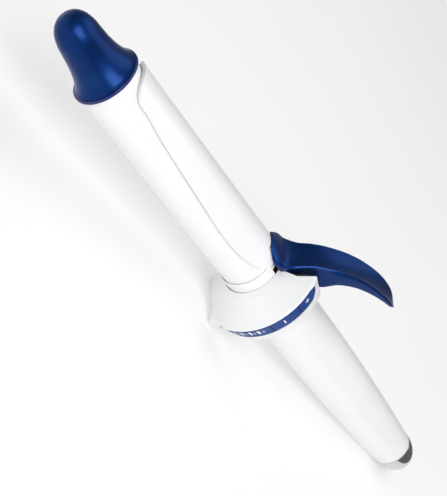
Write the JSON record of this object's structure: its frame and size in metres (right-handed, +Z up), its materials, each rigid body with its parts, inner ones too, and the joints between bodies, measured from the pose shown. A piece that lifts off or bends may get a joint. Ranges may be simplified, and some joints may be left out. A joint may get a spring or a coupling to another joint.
{
  "type": "clamp curling iron",
  "caption": "Clamp curling iron with a heated barrel, cool tip, thumb lever, bell collar with two rest feet and a key band, and a tapered handle.",
  "frame": {"origin": "on the surface that the iron rests on, under the middle of its box", "axes": "+X towards the handle's end, -X towards the cool tip, +Z up with the thumb lever on top, -Y towards the side with the keys"},
  "size_m": [0.3258, 0.0556, 0.0707],
  "materials": {
    "white_coating": "gloss",
    "white_gloss": "gloss",
    "blue_pearl": "gloss",
    "blue_dark": "gloss",
    "blue_key": "satin",
    "white_lens": "satin",
    "black_plastic": "matte",
    "bright_metal": "polished",
    "steel": "satin",
    "spreader_aluminium": "satin",
    "heater_ceramic": "satin",
    "board_green": "satin",
    "copper_winding": "satin",
    "wire_sleeve": "matte"
  },
  "bodies": {
    "body": {"barrel_tube": "white_coating", "tip_cap": "blue_pearl", "tip_flange": "blue_dark", "tip_plug": "black_plastic", "tip_screw": "steel", "heater_shoe_upper": "spreader_aluminium", "heater_shoe_lower": "spreader_aluminium", "ptc_heater": "heater_ceramic", "heater_spring": "steel", "thermistor": "heater_ceramic", "thermal_fuse": "black_plastic", "heater_lead_near": "wire_sleeve", "sensor_lead_near": "wire_sleeve", "heater_lead_far": "wire_sleeve", "sensor_lead_far": "wire_sleeve", "hinge_pin": "steel", "hinge_spring": "steel", "collar_shell": "white_gloss", "collar_back": "white_gloss", "barrel_base_ring": "white_gloss", "scale_panel": "blue_key", "scale_window_1": "white_lens", "scale_window_2": "white_lens", "scale_window_3": "white_lens", "scale_window_4": "white_lens", "barrel_mount": "black_plastic", "mount_screw_1": "steel", "mount_screw_2": "steel", "mount_screw_3": "steel", "key_board": "board_green", "plus_switch": "black_plastic", "minus_switch": "black_plastic", "scale_led_1": "white_lens", "scale_led_2": "white_lens", "scale_led_3": "white_lens", "scale_led_4": "white_lens", "handle_sleeve": "white_gloss", "end_cap": "bright_metal", "swivel_clip": "steel", "board_carrier": "steel", "control_board": "board_green", "board_screw_1": "steel", "board_screw_2": "steel", "capacitor": "black_plastic", "triac": "black_plastic", "controller_chip": "black_plastic", "board_fuse": "heater_ceramic", "transformer": "copper_winding", "terminal_block": "black_plastic", "cord_clamp": "black_plastic", "ribbon_cable": "wire_sleeve"},
    "clamp": {"clamp_blade": "white_coating", "thumb_lever": "blue_pearl", "lever_rivet_1": "steel", "lever_rivet_2": "steel"},
    "plus_key": {"plus_button": "blue_key"},
    "minus_key": {"minus_button": "blue_key"},
    "swivel": {"cord_swivel": "black_plastic"}
  },
  "joints": [
    {"name": "clamp_hinge", "type": "hinge", "parent": "body", "child": "clamp", "pos_m": [0.00217, 0.00103, 0.04566], "axis": [0, 1, 0], "range_deg": [0, 28], "stiffness_Nm_per_rad": 0.3, "springref_deg": -22.92},
    {"name": "plus_press", "type": "slide", "parent": "body", "child": "plus_key", "axis": [-0.0922, 0.6528, -0.7519], "range_m": [0, 0.0006], "stiffness_N_per_m": 600, "springref_m": -0.001},
    {"name": "minus_press", "type": "slide", "parent": "body", "child": "minus_key", "axis": [-0.0436, 0.9336, -0.3557], "range_m": [0, 0.0006], "stiffness_N_per_m": 600, "springref_m": -0.001},
    {"name": "cord_turn", "type": "hinge", "parent": "body", "child": "swivel", "pos_m": [0.15732, 0.00103, 0.0095], "axis": [0.9926, 0, -0.1217], "continuous": true}
  ]
}
